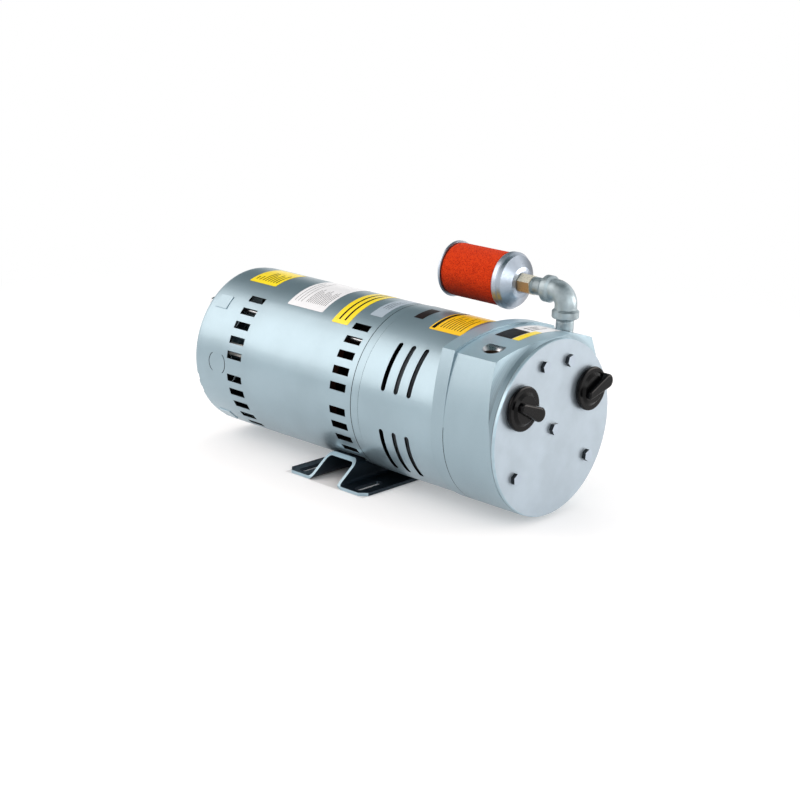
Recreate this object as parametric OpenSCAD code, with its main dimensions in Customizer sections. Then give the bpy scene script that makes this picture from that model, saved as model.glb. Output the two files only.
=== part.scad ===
// Oil-less rotary vane vacuum pump, carried by the foot-mounted electric motor that drives it.
// The shaft lies along Y and the pump head faces -Y. Z = 0 is the floor under the foot, and the
// origin is the centre of the foot's slot pattern. All sizes are in millimetres.

/* [Motor] */
// Outside radius of the rolled steel shell
shell_r = 82.5; // [80:0.5:83]
// Wall of the shell
shell_wall = 2; // [1.5:0.1:3]
// From the foot's centre back to the shell's rear edge
shell_back = 187; // [180:1:200]
// From the foot's centre forward to the shell's front edge
shell_fore = 30.5; // [29:0.5:34]
// Length of each shell vent, along the shaft
vent_len = 21; // [14:1:24]
// Width of each shell vent, around the shell
vent_w = 7.8; // [5:0.1:9]
// Vents in each quarter row
vent_count = 5; // [3:1:6]
// Angle between neighbouring vents
vent_pitch = 11; // [10:0.5:13]
// From the shell's rear edge to the middle of the rear vents
rear_vent_in = 51.5; // [45:0.5:56]
// From the shell's front edge to the middle of the front vents
front_vent_in = 18.3; // [16:0.1:24]
// Length of the laminated core
core_len = 90; // [76:1:92]
// Radius of the hole through the stator
stator_bore_r = 45; // [42:0.5:47]
// Gap between the motor's rotor and stator
air_gap = 0.4; // [0.3:0.1:0.8]
// Slots in the stator
stator_slots = 24; // [18:6:30]

/* [Foot] */
// From the floor up to the underside of the shell
floor_gap = 6.4; // [4:0.1:12]
// Thickness of the foot's pressed steel
foot_t = 3.2; // [2.5:0.1:3.6]
// Width of the foot, across the pump
foot_w = 170; // [166:1:180]
// From the middle of the foot to the outer edge of a flange
foot_half_l = 53; // [50:1:58]
// Steel between the end of a slot and the side of the foot
foot_edge = 5.1; // [4:0.1:8]
// Spacing of the slots along the pump
slot_span_y = 76.2; // [74:0.1:80]
// Width of a foot slot
foot_slot_w = 8.7; // [7:0.1:10]
// Length of a foot slot, end to end
foot_slot_l = 36; // [20:1:38]
// Height of the hump's crest above the floor
hump_h = 24.5; // [22:0.5:26]
// From the middle of the foot to the outside of the hump's wall
hump_half_y = 20; // [18:0.5:22]

/* [Shafts and bearings] */
// Shaft radius in the rear bearing and in the pump's end bearing
journal_r = 8.5; // [8:0.1:8.8]
// Shaft radius through the fan and the pump rotor
drive_r = 9.5; // [9.2:0.1:9.7]
// Shaft radius in the front motor bearing
front_journal_r = 10; // [9.9:0.1:10.5]
// Shaft radius in the motor's rotor
core_shaft_r = 12; // [11:0.5:13]
// Running clearance of the shaft in its bearings
run_fit = 0.03; // [0.02:0.01:0.06]

/* [Fan and shroud] */
// Length of the front shield's rim between motor and shroud
rim_len = 10.5; // [9:0.5:12]
// Outside radius of the fan shroud
shroud_r = 83.3; // [82:0.1:84]
// Wall of the shroud
shroud_wall = 1.6; // [1:0.1:2]
// Length of the shroud
shroud_len = 94; // [93:0.5:97]
// Width of an air slot in the shroud
air_slot_w = 5.4; // [3:0.1:7]
// From the shroud's rear edge to its first air slot
air_slot_in = 29; // [27:0.5:31]
// Spacing of the air slots
air_slot_pitch = 16.3; // [12:0.1:18]
// Radius of the cooling fan
fan_r = 58; // [50:1:60]
// Length of the cooling fan
fan_len = 20; // [14:1:22]

/* [Pump] */
// Radius of the pump's bore
bore_r = 52; // [50:0.5:52.5]
// Radius of the pump's rotor
rotor_r = 45; // [43:0.5:45]
// Length of the pump's bore
bore_len = 55; // [50:1:56]
// Running gap where the rotor comes nearest to the bore
top_gap = 0.15; // [0.1:0.05:0.3]
// Gap between the rotor and each end plate
end_gap = 0.1; // [0.08:0.02:0.2]
// Thickness of a vane
vane_t = 5; // [4:0.5:6]
// Depth of a vane, along its slot
vane_depth = 24; // [18:1:26]
// Clearance on each face of a vane
vane_fit = 0.08; // [0.05:0.01:0.1]
// Outside radius of the pump cylinder's wall
cylinder_r = 66; // [65.5:0.5:67]
// Outside radius of the cylinder's cooling fins
fin_r = 78; // [76:0.5:79]

/* [Head] */
// Radius of the round lower part of the head
head_r = 84.5; // [83.5:0.5:86]
// Half width of the head's shoulders
shoulder_x = 70; // [68:0.5:72]
// Height of the shoulders' corners above the shaft
shoulder_z = 72; // [70:0.5:74]
// Length of the head casting
head_len = 56.2; // [54:0.2:60]
// Thickness of the port plate behind the head
plate_len = 15; // [15:0.5:18]
// How far the port plate's shoulders stand out from the head's
plate_rise = 2; // [1:0.5:4]
// Length of the hollow around the cover, where the head narrows to it
cove_len = 10; // [6:0.5:12]
// From the head's round side in to the edge of the end cover
cover_inset = 0.5; // [0.5:0.1:1.5]
// Thickness of the end cover
cover_t = 3; // [2.5:0.1:4]
// Thickness of the cover's gasket
gasket_t = 0.8; // [0.5:0.1:1]
// From the shaft line to each port and filter cap, across the pump
port_x = 52.5; // [50:0.5:54]
// From the cover's face back to the ports
port_in = 33; // [30:0.5:36]
// Radius of the thread's wall in a port
port_r = 7.3; // [7:0.1:7.5]
// Depth of thread in a port
port_depth = 16; // [12:0.5:17]

/* [Cover bolts] */
// Hexagon size of the cover bolts, across flats
bolt_af = 10; // [8:0.5:11]
// Height of a cover bolt's head
bolt_head_h = 4; // [3:0.5:5]
// Thread radius of the cover bolts
bolt_r = 3; // [2.5:0.25:3.5]
// Radius of the circle of cover bolts
bolt_circle_r = 64.3; // [62:0.1:66]
// Angle of the upper bolts from the top
upper_bolt_a = 16.3; // [14:0.1:20]
// Angle of the lower bolts from the bottom
lower_bolt_a = 55; // [50:0.5:58]

/* [Filter caps] */
// From the shaft line to each cap, across the pump
cap_x = 50; // [49:0.5:51]
// Height of the caps above the shaft
cap_z = 29.5; // [28:0.5:31]
// Radius of a cap's flange
cap_r = 21; // [20:0.5:22]
// Radius of the cap's threaded plug
plug_r = 17; // [16:0.5:17.5]
// Length of the cap's threaded plug
plug_len = 13; // [11:0.5:16]
// Thickness of the cap's flange
cap_t = 4; // [3:0.5:5]
// Height of the finger wing above the flange
wing_h = 7; // [5:0.5:9]
// Width of the finger wing at its narrow end
wing_w = 9; // [6:0.5:10]
// Radius of the lobe at the wing's wide end
lobe_r = 7; // [5:0.5:8]
// How far the lobe stands past the flange
lobe_reach = 2.5; // [1:0.5:4]
// Cross-section radius of the cap's sealing ring
ring_w = 0.9; // [0.7:0.1:1]
// Depth of the pocket that holds each felt filter
pocket_len = 46; // [42:1:48]

/* [Inlet filter] */
// Outside radius of the pipe
pipe_r = 8.55; // [8.4:0.05:8.7]
// Radius of the way through the pipe
pipe_bore_r = 6.2; // [5.5:0.1:6.4]
// Height of the filter's axis above the shaft
filter_z = 114; // [112:0.5:118]
// From the elbow's middle to each of its ends
elbow_reach = 24.1; // [23:0.1:26]
// Radius of the elbow's body
elbow_r = 10.6; // [10:0.1:11]
// Radius of the bands at the elbow's ends
band_r = 12.9; // [12:0.1:13.5]
// Length of a band
band_len = 8.5; // [6:0.5:9]
// Pipe that shows between the elbow and the filter's hexagon
nipple_gap = 14.4; // [10:0.2:18]
// Hexagon size of the filter's neck, across flats
neck_af = 17.5; // [17:0.5:22]
// Length of the neck's hexagon
neck_len = 14; // [12:1:20]
// Radius of the filter's metal ends
canister_r = 27.8; // [26:0.1:30]
// Length of the filter's cone
cone_len = 11; // [8:0.5:20]
// Width of the bead around the cone's rim
bead_len = 6; // [4:0.5:8]
// Length of the foam sleeve
foam_len = 65; // [45:1:70]
// Outside radius of the foam sleeve
foam_r = 26.3; // [24:0.1:26.5]
// Radius of the perforated tube inside the foam
filter_core_r = 18; // [16:0.5:20]

/* [Hidden] */
$fn = 96;
big_fn = 240;

paint = [0.66, 0.73, 0.77];
casting = [0.62, 0.64, 0.66];
steel = [0.72, 0.73, 0.75];
zinc = [0.62, 0.68, 0.70];
black = [0.06, 0.06, 0.07];

cut = 1;        // how far a cutting shape runs past the face it cuts
beyond = 600;   // long enough to pass right through the pump
seat = 0.05;    // clearance between pieces that are assembled and stay still

shaft_h = shell_r + floor_gap;
cover_r = head_r - cover_inset;
slot_span_x = foot_w - foot_slot_l - 2 * foot_edge;

// Stations along the shaft, as Y from rear to front
shield_lip = 9;
motor_end = shell_back + shield_lip;
shield_face_t = 3.5;
shield_inner = motor_end - shield_face_t;
shell_front = -shell_fore;
rim_front = shell_front - rim_len;
shroud_front = rim_front - shroud_len;
plate_front = shroud_front - plate_len;
head_front = plate_front - head_len;
gasket_front = head_front - gasket_t;
cover_front = gasket_front - cover_t;
bore_rear = shroud_front + bore_len;
drive_plate_t = 8;
drive_plate_rear = bore_rear + drive_plate_t;
port_y = cover_front + port_in;

// Motor inside
core_mid = 70;
core_rear = core_mid + core_len / 2;
core_front = core_mid - core_len / 2;
core_r = shell_r - shell_wall - seat;
coil_len = 18;
coil_in_r = stator_bore_r + 3;
coil_out_r = core_r - 10;
rotor_core_r = stator_bore_r - air_gap;

// Bearings
bearing_w = 12;
small_bearing_r = 20;
front_bearing_r = 23.5;
front_bearing_w = 14;
rear_bearing_rear = shield_inner - 3;
front_bearing_front = rim_front + 10;
pump_bearing_rear = shroud_front - 1.5;
shaft_rear = rear_bearing_rear - 0.5;
shaft_front = pump_bearing_rear - bearing_w + 0.5;

// Pump
ecc = bore_r - rotor_r - top_gap;
tie_r = 70;
tie_bolt_r = 3;
post_r = 7;
fan_rear = rim_front - 3;
slot_angles = [45, 135, 225, 315];

// Head outline: a circle, and shoulders bounded by three large arcs
function arc_radius(half_chord, depth) = (pow(half_chord, 2) + pow(depth, 2)) / (2 * depth);
top_arc_r = arc_radius(shoulder_x, head_r - shoulder_z);
shoulder_r = norm([shoulder_x, shoulder_z]);
port_top = head_r - top_arc_r + sqrt(pow(top_arc_r, 2) - pow(port_x, 2));
thread_top = port_top - 3;
pocket_r = plug_r + seat;
pocket_end = head_front + pocket_len;

// Filter line
elbow_end = port_y + elbow_reach;
neck_start = elbow_end + nipple_gap;
cone_start = neck_start + neck_len;
bead_start = cone_start + cone_len;
foam_start = bead_start + bead_len;
foam_end = foam_start + foam_len;
end_cap_t = 3;
socket_len = 9.5;
thread_fit = 0.05;

// Frames of reference: local z runs forward (-Y) on the shaft line, and backward (+Y) in the filter
module along_shaft() translate([0, 0, shaft_h]) rotate([90, 0, 0]) children();
module at_port(side) translate([side * port_x, port_y, shaft_h]) children();
module filter_line(start) translate([port_x, start, shaft_h + filter_z]) rotate([-90, 0, 0]) children();

module drum(rear, front, r) along_shaft() translate([0, 0, -rear]) cylinder(r = r, h = rear - front);
module prism(rear, front) along_shaft() translate([0, 0, -rear]) linear_extrude(rear - front) children();
module bored(rear, front, r_out, r_in) difference() {
    drum(rear, front, r_out);
    drum(rear + cut, front - cut, r_in);
}
module ring_2d(r_out, r_in) difference() {
    circle(r_out);
    circle(r_in);
}
module hex_2d(af) circle(r = af / sqrt(3), $fn = 6);

// A cutter for a slot with round ends, lying along x
module round_slot(length, width, depth) {
    half = (length - width) / 2;
    for (end = [-half, half]) translate([end, 0, 0]) cylinder(r = width / 2, h = depth);
    translate([-half, -width / 2, 0]) cube([2 * half, width, depth]);
}

// A surface of revolution on the shaft line, from points of [radius, Y]
module turned(points) along_shaft() rotate_extrude() polygon([for (p = points) [p[0], -p[1]]]);

// One quarter-row of vents, on the side of the shell that starts at an angle
module vent_rows(y) {
    first = (vent_w / shell_r) * 90 / PI + 5.7;
    for (side = [0, 180], up = [-1, 1], k = [0:vent_count - 1])
        along_shaft() rotate(side + up * (first + k * vent_pitch))
            translate([shell_r, 0, -y]) cube([6 * shell_wall, vent_w, vent_len], center = true);
}

// Pressed pads and a round knock-out near the motor's rear, on the -X side
module near_side(angle, y)
    along_shaft() rotate(180 - angle) translate([shell_r, 0, -y]) rotate([0, 90, 0]) children();
module pressed_pad() {
    pad = [17, 15, 2.4];
    translate([0, 0, -pad[2] / 2 + 0.6]) cube(pad, center = true);
}

module motor_shell() color(paint) {
    knock_out_r = 12.5;
    pad_y = shell_back - 11;
    difference() {
        union() {
            drum(shell_back, shell_front, shell_r);
            near_side(44.5, pad_y) pressed_pad();
            near_side(-50, pad_y) pressed_pad();
        }
        drum(shell_back + cut, shell_front - cut, shell_r - shell_wall);
        vent_rows(shell_back - rear_vent_in);
        vent_rows(shell_front + front_vent_in);
        near_side(0, shell_back - 26) difference() {
            translate([0, 0, -0.7]) cylinder(r = knock_out_r, h = 5);
            translate([0, 0, -1.7]) cylinder(r = knock_out_r - 0.9, h = 7);
        }
    }
}

// Closes the motor's rear end and carries the rear bearing
module rear_end_shield() color(paint) {
    lip_r = shell_r - 0.5;
    pilot_r = shell_r - shell_wall - seat;
    pilot_len = 12;
    hub_r = small_bearing_r + 5;
    edge = 2.5;
    difference() {
        union() {
            turned([
                [0, motor_end], [lip_r - 2 * edge, motor_end], [lip_r - edge, motor_end - 0.4],
                [lip_r - 0.5, motor_end - 1.6], [lip_r, motor_end - 2 * edge + 1], [lip_r, shell_back + seat],
                [pilot_r, shell_back + seat], [pilot_r, shell_back - pilot_len],
                [pilot_r - 3, shell_back - pilot_len], [pilot_r - 3, shield_inner], [0, shield_inner]
            ]);
            drum(shield_inner + seat, shield_inner - bearing_w - 4, hub_r);
        }
        drum(rear_bearing_rear, shield_inner - bearing_w - 4 - cut, small_bearing_r + seat);
        for (k = [0:11])
            along_shaft() rotate(15 + 30 * k) translate([47, 0, -shield_inner])
                cube([24, 6, 3 * shield_lip], center = true);
        for (side = [0, 180], a = [16, 26.5])
            along_shaft() rotate(side == 0 ? -a : 180 + a)
                translate([lip_r, 0, -motor_end]) cube([7, 8, 7], center = true);
        bolt_places() cylinder(r = 2.7, h = beyond, center = true);
    }
}

// Four long bolts clamp the end shields to the shell
through_bolt_in = 5;    // from the core's edge to a bolt's axis
module bolt_places()
    along_shaft() for (a = [45:90:315]) rotate(a) translate([core_r - through_bolt_in, 0, 0]) children();
module through_bolts() color(steel) {
    head_h = 3.5;
    bolt_places() {
        translate([0, 0, -motor_end - head_h - seat]) linear_extrude(head_h) hex_2d(8);
        translate([0, 0, -motor_end - head_h]) cylinder(r = 2.5, h = motor_end + head_h - shell_front);
    }
}

// Joins the motor to the shroud, carries the front bearing, and holds the pump on four posts
module front_end_shield() color(paint) {
    pilot_r = shell_r - shell_wall - seat;
    pilot_len = 9;
    web_t = 7;
    hub_r = front_bearing_r + 5;
    hub_rear = front_bearing_front + front_bearing_w + 2;
    groove = 0.7;
    difference() {
        union() {
            turned([
                [0, rim_front], [shell_r - 2, rim_front], [shell_r - 2, rim_front + groove],
                [shell_r + 0.3, rim_front + groove], [shell_r + 0.3, shell_front - groove],
                [shell_r - 2, shell_front - groove], [shell_r - 2, shell_front - seat],
                [pilot_r, shell_front - seat], [pilot_r, shell_front + pilot_len],
                [pilot_r - 4, shell_front + pilot_len], [pilot_r - 4, rim_front + web_t],
                [0, rim_front + web_t]
            ]);
            drum(hub_rear, rim_front, hub_r);
            tie_places() translate([0, 0, -rim_front - 0.5])
                cylinder(r = post_r, h = rim_front - drive_plate_rear - seat + 0.5);
        }
        drum(hub_rear + cut, front_bearing_front, front_bearing_r + seat);
        drum(hub_rear + cut, rim_front - cut, front_journal_r + 2);
        for (k = [0:3])
            prism(rim_front + web_t + cut, rim_front - cut) rotate(90 * k) difference() {
                intersection() {
                    ring_2d(66, hub_r + 4);
                    rotate(45) square(80);
                }
                for (a = [45, 135]) rotate(a) translate([50, 0]) square([80, 14], center = true);
            }
        bolt_places() translate([0, 0, -shell_front - pilot_len - 2 * cut])
            cylinder(r = 2.55, h = pilot_len + cut + 3);
        tie_places() translate([0, 0, -drive_plate_rear - 14]) cylinder(r = tie_bolt_r + seat, h = 14 + cut);
    }
}

module stator_core() color(steel) difference() {
    slot_depth = 19;
    slot_w = 5;
    drum(core_rear, core_front, core_r);
    drum(core_rear + cut, core_front - cut, stator_bore_r);
    for (k = [0:stator_slots - 1])
        along_shaft() rotate(360 / stator_slots * k)
            translate([stator_bore_r - cut, -slot_w / 2, -core_rear - cut])
                cube([slot_depth + cut, slot_w, core_len + 2 * cut]);
    bolt_places() cylinder(r = 3.6, h = beyond, center = true);
}

// End turns on both faces of the core
module stator_windings() color([0.55, 0.27, 0.10]) for (face = [-1, 1]) {
    near = core_mid + face * (core_len / 2 + seat);
    far = near + face * coil_len;
    round_in = 5;
    turned([
        [coil_in_r, near], [coil_out_r, near], [coil_out_r, far - face * round_in],
        [coil_out_r - round_in, far], [coil_in_r + round_in, far], [coil_in_r, far - face * round_in]
    ]);
}

// Two leads laid around the rear end turns, which then run back to the terminal board
lead_r = 1.5;
module lead_wires() color([0.92, 0.92, 0.90]) {
    lay_r = coil_out_r + lead_r + 0.3;
    lead_start = 140;
    lead_ends = [172, 164];
    corner_r = lead_r + 0.1;
    for (k = [0:1]) {
        lay_y = core_rear + 6 * (k + 1);
        along_shaft() translate([0, 0, -lay_y]) rotate(lead_start)
            rotate_extrude(angle = lead_ends[k] - lead_start)
                translate([lay_r, 0]) circle(lead_r, $fn = 24);
        along_shaft() rotate(lead_ends[k]) translate([lay_r, 0, 0]) {
            translate([0, 0, -lay_y]) sphere(corner_r, $fn = 24);
            translate([0, 0, -board_front]) cylinder(r = lead_r, h = board_front - lay_y, $fn = 24);
        }
    }
}

// Insulating board for the leads, on pads inside the rear shield
board_t = 4;
board_front = shield_inner - board_t - seat;
module terminal_board() color([0.35, 0.22, 0.14]) {
    along_shaft() rotate(170) translate([62, 0, -shield_inner + seat]) {
        translate([-5, -15, 0]) cube([17, 30, board_t]);
        for (k = [-1:1]) translate([1, 10 * k, board_t - 0.5]) cylinder(r = 2, h = 7, $fn = 6);
    }
}

module capacitor() color([0.16, 0.17, 0.19]) {
    can_r = 17;
    can_len = 68;
    can_drop = shell_r - 33.5;
    translate([-can_len / 2, shield_inner - can_r - 0.3, shaft_h - can_drop])
        rotate([0, 90, 0]) cylinder(r = can_r, h = can_len);
}

// The starting switch: a fixed plate on the hub, and a spool that its weights pull forward
switch_plate_t = 2.5;
spool_len = 20;
switch_front = shield_inner - bearing_w - 4 - seat - switch_plate_t;
module switch_plate() color([0.45, 0.30, 0.16]) {
    bored(switch_front + switch_plate_t, switch_front, 28, journal_r + 3);
    prism(switch_front + switch_plate_t, switch_front) translate([0, 30]) square([16, 14], center = true);
}
module switch_spool() color([0.75, 0.72, 0.62]) {
    spool_rear = switch_front - 0.4;
    spool_bore_r = core_shaft_r + 0.1;
    turned([
        [spool_bore_r, spool_rear], [22, spool_rear], [22, spool_rear - 3], [14, spool_rear - 4],
        [14, spool_rear - spool_len + 3], [18, spool_rear - spool_len + 2], [18, spool_rear - spool_len],
        [spool_bore_r, spool_rear - spool_len]
    ]);
}

module ball_bearing(rear, width, r_out, r_in) color(steel) {
    race = (r_out - r_in) * 0.3;
    turned([
        [r_in, rear], [r_in + race, rear], [r_in + race, rear - 1], [r_out - race, rear - 1],
        [r_out - race, rear], [r_out, rear], [r_out, rear - width], [r_out - race, rear - width],
        [r_out - race, rear - width + 1], [r_in + race, rear - width + 1], [r_in + race, rear - width],
        [r_in, rear - width]
    ]);
}
module rear_bearing() ball_bearing(rear_bearing_rear - seat, bearing_w, small_bearing_r, journal_r + run_fit);
module front_bearing()
    ball_bearing(front_bearing_front + front_bearing_w, front_bearing_w - seat,
                 front_bearing_r, front_journal_r + run_fit);
module pump_bearing() ball_bearing(pump_bearing_rear, bearing_w, small_bearing_r, journal_r + run_fit);

// Pressed steel foot: two slotted flanges and a hump between them that cradles the shell
crest_half_x = 57;
crest_round = 7;
bend_r = 3;
bend_y = hump_half_y + bend_r;
cradle_r = shell_r + seat;
function arc(centre, r, from, to) = [
    for (i = [0:6]) let(a = from + (to - from) * i / 6) centre + r * [cos(a), sin(a)]
];
function hump_side(inset) = concat(
    arc([bend_y, foot_t + bend_r], bend_r + inset, 270, 180),
    arc([hump_half_y - crest_round, hump_h - crest_round], crest_round - inset, 0, 90)
);
module symmetric(side) polygon(concat(side, [for (i = [len(side) - 1:-1:0]) [-side[i][0], side[i][1]]]));
module hump_2d() symmetric(concat([[bend_y + cut, 0], [bend_y + cut, foot_t]], hump_side(0)));
module tunnel_2d() symmetric(concat([[bend_y, -cut]], hump_side(foot_t)));
module along_x(half) translate([-half, 0, 0]) rotate([90, 0, 90]) linear_extrude(2 * half) children();
module hump_limits() rotate([90, 0, 0]) linear_extrude(4 * hump_half_y, center = true)
    polygon([
        [-foot_w / 2, -cut], [-foot_w / 2, foot_t], [-crest_half_x, hump_h],
        [crest_half_x, hump_h], [foot_w / 2, foot_t], [foot_w / 2, -cut]
    ]);
module foot_flanges() linear_extrude(foot_t) difference() {
    corner = 7;
    polygon([
        [-foot_w / 2, -foot_half_l + corner], [-foot_w / 2 + corner, -foot_half_l],
        [foot_w / 2 - corner, -foot_half_l], [foot_w / 2, -foot_half_l + corner],
        [foot_w / 2, foot_half_l - corner], [foot_w / 2 - corner, foot_half_l],
        [-foot_w / 2 + corner, foot_half_l], [-foot_w / 2, foot_half_l - corner]
    ]);
    square([foot_w + 2 * cut, 2 * bend_y], center = true);
}
module foot() color(paint) {
    difference() {
        union() {
            foot_flanges();
            intersection() {
                hump_limits();
                difference() {
                    along_x(foot_w / 2) hump_2d();
                    along_x(foot_w / 2 + cut) tunnel_2d();
                    drum(2 * hump_half_y, -2 * hump_half_y, cradle_r);
                }
            }
            intersection() {
                along_x(crest_half_x) hump_2d();
                bored(2 * hump_half_y, -2 * hump_half_y, cradle_r + foot_t, cradle_r);
            }
        }
        for (sx = [-1, 1], sy = [-1, 1]) translate([sx * slot_span_x / 2, sy * slot_span_y / 2, -cut])
            round_slot(foot_slot_l, foot_slot_w, foot_t + 2 * cut);
    }
}

// One shaft carries the motor's rotor, the fan and the pump's rotor
key_w = 5;
module shaft() color(steel) difference() {
    turned([
        [0, shaft_rear], [journal_r, shaft_rear], [journal_r, switch_front - 1],
        [core_shaft_r, switch_front - 1], [core_shaft_r, front_bearing_front + front_bearing_w + 1],
        [front_journal_r, front_bearing_front + front_bearing_w + 1], [front_journal_r, rim_front - 1],
        [drive_r, rim_front - 1], [drive_r, pump_bearing_rear + 0.5], [journal_r, pump_bearing_rear + 0.5],
        [journal_r, shaft_front], [0, shaft_front]
    ]);
    key_seat();
}
module key_seat() along_shaft() translate([-key_w / 2, drive_r - 3, -bore_rear + 8]) cube([key_w, 8, 30]);
module rotor_key() color(steel) along_shaft()
    translate([-key_w / 2 + seat, drive_r - 3 + seat, -bore_rear + 8 + seat])
        cube([key_w - 2 * seat, 5, 30 - 2 * seat]);

module motor_rotor() color(steel) {
    end_ring = 8;
    fin_h = 7;
    recess_r = rotor_core_r - 19.6;
    difference() {
        union() {
            drum(core_rear, core_front, rotor_core_r);
            drum(core_rear + end_ring, core_front - end_ring, rotor_core_r - 4);
            for (k = [0:7], face = [-1, 1])
                along_shaft() rotate(45 * k)
                    translate([33, 0, -core_mid + face * (core_len / 2 + end_ring + fin_h / 2 - 0.5)])
                        cube([12, 2.5, fin_h + 1], center = true);
        }
        drum(core_rear + 3 * end_ring, core_front - 3 * end_ring, core_shaft_r + seat);
        bored(core_rear + 3 * end_ring, core_rear, recess_r, core_shaft_r);
        bored(core_front, core_front - 3 * end_ring, recess_r, core_shaft_r);
    }
}

// Fan with leaning blades, between the motor and the pump
module cooling_fan() color(casting) {
    blades = 12;
    blade_t = 2;
    blade_lean = 22;
    hub_r = 17;
    disc_t = 2;
    difference() {
        union() {
            drum(fan_rear, fan_rear - fan_len, hub_r);
            drum(fan_rear, fan_rear - disc_t, fan_r);
            prism(fan_rear - disc_t / 2, fan_rear - fan_len) intersection() {
                circle(fan_r - 1);
                for (k = [0:blades - 1]) rotate(360 / blades * k)
                    translate([hub_r - 3, 0]) rotate(blade_lean) square([fan_r, blade_t]);
            }
        }
        drum(fan_rear + cut, fan_rear - fan_len - cut, drive_r + seat);
    }
}

// A row of air slots on both sides, between two angles above the -X side. They are punched straight in.
module air_slots(low, high) {
    half_a = (high - low) / 2;
    inner = (shroud_r - shroud_wall) * cos(half_a) - 2;
    for (mirrored = [0, 1], k = [0:2])
        along_shaft() mirror([mirrored, 0, 0]) rotate(180 - low - half_a)
            translate([inner, 0, air_slot_in + k * air_slot_pitch - rim_front]) rotate([0, 90, 0])
                rotate(90) round_slot(2 * shroud_r * sin(half_a), air_slot_w, shroud_r);
}
module fan_shroud() color(paint) difference() {
    bored(rim_front - seat, shroud_front + seat, shroud_r, shroud_r - shroud_wall);
    air_slots(14.2, 48.7);
    air_slots(-47, -11.5);
}

module tie_places() along_shaft() for (a = [45:90:315]) rotate(a) translate([tie_r, 0, 0]) children();
module drive_plate() color(casting) difference() {
    drum(drive_plate_rear, bore_rear + seat, fin_r);
    drum(drive_plate_rear + cut, bore_rear - cut, drive_r + 0.3);
    tie_places() cylinder(r = tie_bolt_r + 0.2, h = beyond, center = true);
}

// The bore lies lower than the rotor, so the crescent between them is widest at the bottom
module pump_cylinder() color(casting) difference() {
    fins = 5;
    fin_t = 3.5;
    fin_pitch = (bore_len - fin_t) / (fins - 1);
    union() {
        drum(bore_rear, shroud_front + seat, cylinder_r);
        for (k = [0:fins - 1]) {
            fin_rear = bore_rear - k * fin_pitch;
            drum(fin_rear, max(fin_rear - fin_t, shroud_front + seat), fin_r);
        }
    }
    translate([0, 0, -ecc]) drum(bore_rear + cut, shroud_front - cut, bore_r);
    tie_places() cylinder(r = tie_bolt_r + 0.2, h = beyond, center = true);
}

// Four long bolts through the port plate, the cylinder and the drive plate, into the posts
counterbore = 6;
module tie_bolts() color(steel) {
    head_h = 5;
    tie_grip = 12;
    tie_places() {
        translate([0, 0, -plate_front - counterbore + 0.2]) linear_extrude(head_h) hex_2d(10);
        translate([0, 0, -drive_plate_rear - tie_grip])
            cylinder(r = tie_bolt_r, h = drive_plate_rear + tie_grip - plate_front - counterbore + 1);
    }
}

// A vane lies in a slot that leans away from the radius, as they do on this kind of pump
vane_lean = 12;
slot_depth = vane_depth + 1.2;
module vane_frame(k)
    along_shaft() rotate(slot_angles[k]) translate([rotor_r, 0, 0]) rotate(vane_lean) children();
module pump_rotor() color(casting) difference() {
    drum(bore_rear - end_gap, shroud_front + end_gap, rotor_r);
    drum(bore_rear + cut, shroud_front - cut, drive_r + seat);
    along_shaft() translate([-key_w / 2, 0, -bore_rear - cut]) cube([key_w, drive_r + 3, 2 * bore_len]);
    for (k = [0:3]) vane_frame(k)
        translate([-slot_depth, -vane_t / 2 - vane_fit, -bore_rear - cut])
            cube([2 * slot_depth, vane_t + 2 * vane_fit, 2 * bore_len]);
}
module vane(k) color(black) intersection() {
    vane_frame(k)
        translate([-vane_depth, -vane_t / 2, -bore_rear + end_gap])
            cube([vane_depth + 4, vane_t, bore_len - 2 * end_gap]);
    drum(bore_rear, shroud_front, rotor_r - 0.05);
}
module vane_1() vane(0);
module vane_2() vane(1);
module vane_3() vane(2);
module vane_4() vane(3);

// Outline of the head, and of the port plate behind it whose shoulders stand out by a rise
module shoulders_2d(rise) {
    side_r = arc_radius(shoulder_z + rise, head_r - shoulder_x - rise);
    top_r = arc_radius(shoulder_x + rise, head_r - shoulder_z);
    intersection() {
        translate([0, head_r + rise - top_r]) circle(top_r, $fn = big_fn);
        translate([side_r - head_r, 0]) circle(side_r, $fn = big_fn);
        translate([head_r - side_r, 0]) circle(side_r, $fn = big_fn);
        translate([-head_r, 0]) square(2 * head_r);
    }
}
module head_2d() {
    circle(head_r);
    shoulders_2d(0);
}
module plate_2d() {
    circle(head_r);
    shoulders_2d(plate_rise);
}

// Crescent-shaped passage on each side, from the pump's bore to the head's pockets
passage_r = (rotor_r + bore_r - ecc / 3) / 2;
module passages(rear, front) prism(rear, front) for (side = [0, 1]) mirror([side, 0]) intersection() {
    ring_2d(passage_r + 2.6, passage_r - 2.6);
    rotate(-8) square([80, 34]);
    rotate(22) translate([0, -40]) square([80, 40]);
}

module cover_bolt_circle() along_shaft() for (side = [-1, 1]) {
    rotate(90 + side * upper_bolt_a) translate([bolt_circle_r, 0, 0]) children();
    rotate(270 + side * lower_bolt_a) translate([bolt_circle_r, 0, 0]) children();
}
cover_bolt_end = plate_front + 9;
centre_bolt_len = 20;
module port_plate() color(paint) difference() {
    prism(shroud_front, plate_front + seat) plate_2d();
    drum(shroud_front + cut, plate_front - cut, drive_r + 0.3);
    drum(pump_bearing_rear, plate_front - cut, small_bearing_r + seat);
    passages(shroud_front + cut, plate_front - cut);
    tie_places() {
        translate([0, 0, -plate_front - counterbore]) cylinder(r = 7, h = 2 * counterbore);
        cylinder(r = tie_bolt_r + 0.2, h = beyond, center = true);
    }
    cover_bolt_circle() translate([0, 0, -cover_bolt_end]) cylinder(r = bolt_r + seat, h = 20);
}

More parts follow.
